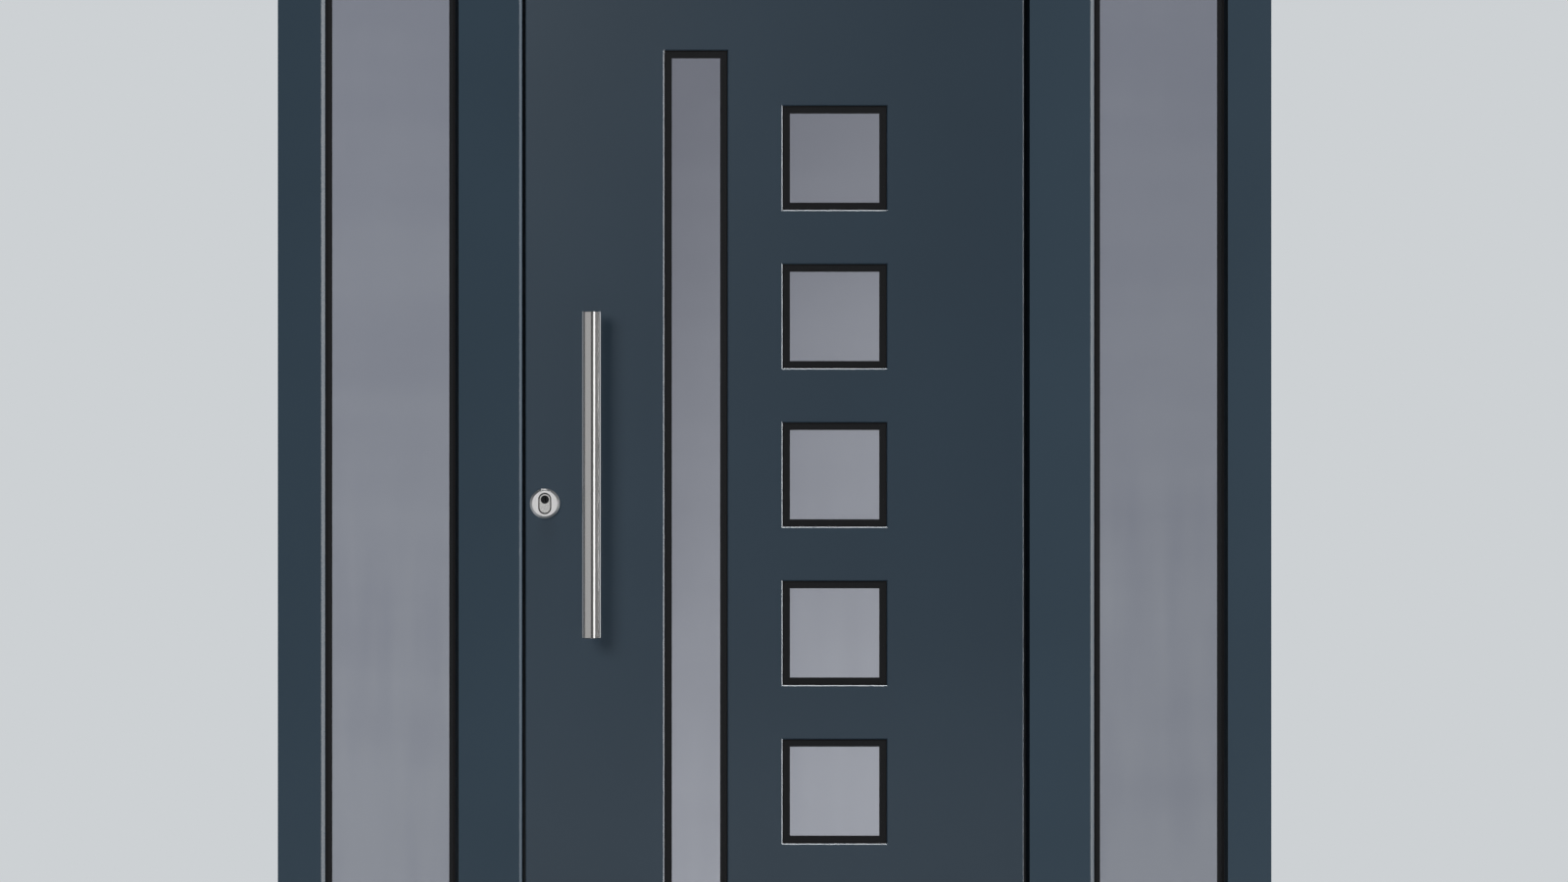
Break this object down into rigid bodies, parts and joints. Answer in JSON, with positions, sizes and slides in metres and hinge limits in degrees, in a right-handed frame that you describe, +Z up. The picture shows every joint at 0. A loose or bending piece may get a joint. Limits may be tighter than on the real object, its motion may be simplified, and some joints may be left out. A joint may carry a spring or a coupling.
{
  "type": "double-glazed door",
  "caption": "Hinged aluminium entrance door with satin double-glazed windows and a bar pull handle, between fixed glazed sidelights in one frame.",
  "frame": {"origin": "on the underside of the threshold, at mid-width and mid-depth of the frame", "axes": "+X to the right seen from outside, +Y into the building, +Z up"},
  "size_m": [1.83, 0.2233, 2.1],
  "materials": {
    "frame_coat": "matte",
    "leaf_coat": "matte",
    "anodised": "satin",
    "clear_glass": "gloss",
    "satin_glass": "matte",
    "rubber": "matte",
    "spacer": "matte",
    "stainless": "satin",
    "lock_steel": "satin",
    "dark_plug": "satin",
    "hinge_metal": "satin"
  },
  "bodies": {
    "frame": {"left_jamb": "frame_coat", "right_jamb": "frame_coat", "head": "frame_coat", "left_mullion": "frame_coat", "right_mullion": "frame_coat", "left_sill_rail": "frame_coat", "right_sill_rail": "frame_coat", "threshold": "anodised", "frame_seal": "rubber", "left_outer_pane": "clear_glass", "left_inner_pane": "satin_glass", "left_spacer": "spacer", "left_glazing_gaskets": "rubber", "left_glazing_beads": "frame_coat", "right_outer_pane": "clear_glass", "right_inner_pane": "satin_glass", "right_spacer": "spacer", "right_glazing_gaskets": "rubber", "right_glazing_beads": "frame_coat", "strike_plate": "stainless", "upper_hinge_frame_wing": "hinge_metal", "middle_hinge_frame_wing": "hinge_metal", "lower_hinge_frame_wing": "hinge_metal"},
    "leaf": {"leaf_outer_skin": "leaf_coat", "leaf_inner_skin": "leaf_coat", "lock_stile": "leaf_coat", "hinge_stile": "leaf_coat", "top_rail": "leaf_coat", "bottom_rail": "leaf_coat", "leaf_window_tapes": "rubber", "leaf_window_outer_panes": "clear_glass", "leaf_window_spacers": "spacer", "leaf_window_inner_panes": "satin_glass", "leaf_window_liners": "leaf_coat", "pull_handle": "stainless", "escutcheon": "stainless", "lock_cylinder": "lock_steel", "lock_faceplate": "stainless", "lock_bolts": "lock_steel", "lever_plate": "stainless", "inner_lever": "stainless", "upper_hinge_leaf_wing": "hinge_metal", "middle_hinge_leaf_wing": "hinge_metal", "lower_hinge_leaf_wing": "hinge_metal"},
    "key_plug": {"cylinder_plug": "dark_plug"}
  },
  "joints": [
    {"name": "leaf_swing", "type": "hinge", "parent": "frame", "child": "leaf", "pos_m": [0.479, 0.054, 1.01725], "axis": [0, 0, -1], "range_deg": [0, 100]},
    {"name": "key_plug_turn", "type": "hinge", "parent": "leaf", "child": "key_plug", "pos_m": [-0.423, -0.046, 0.97155], "axis": [0, -1, 0], "continuous": true}
  ]
}
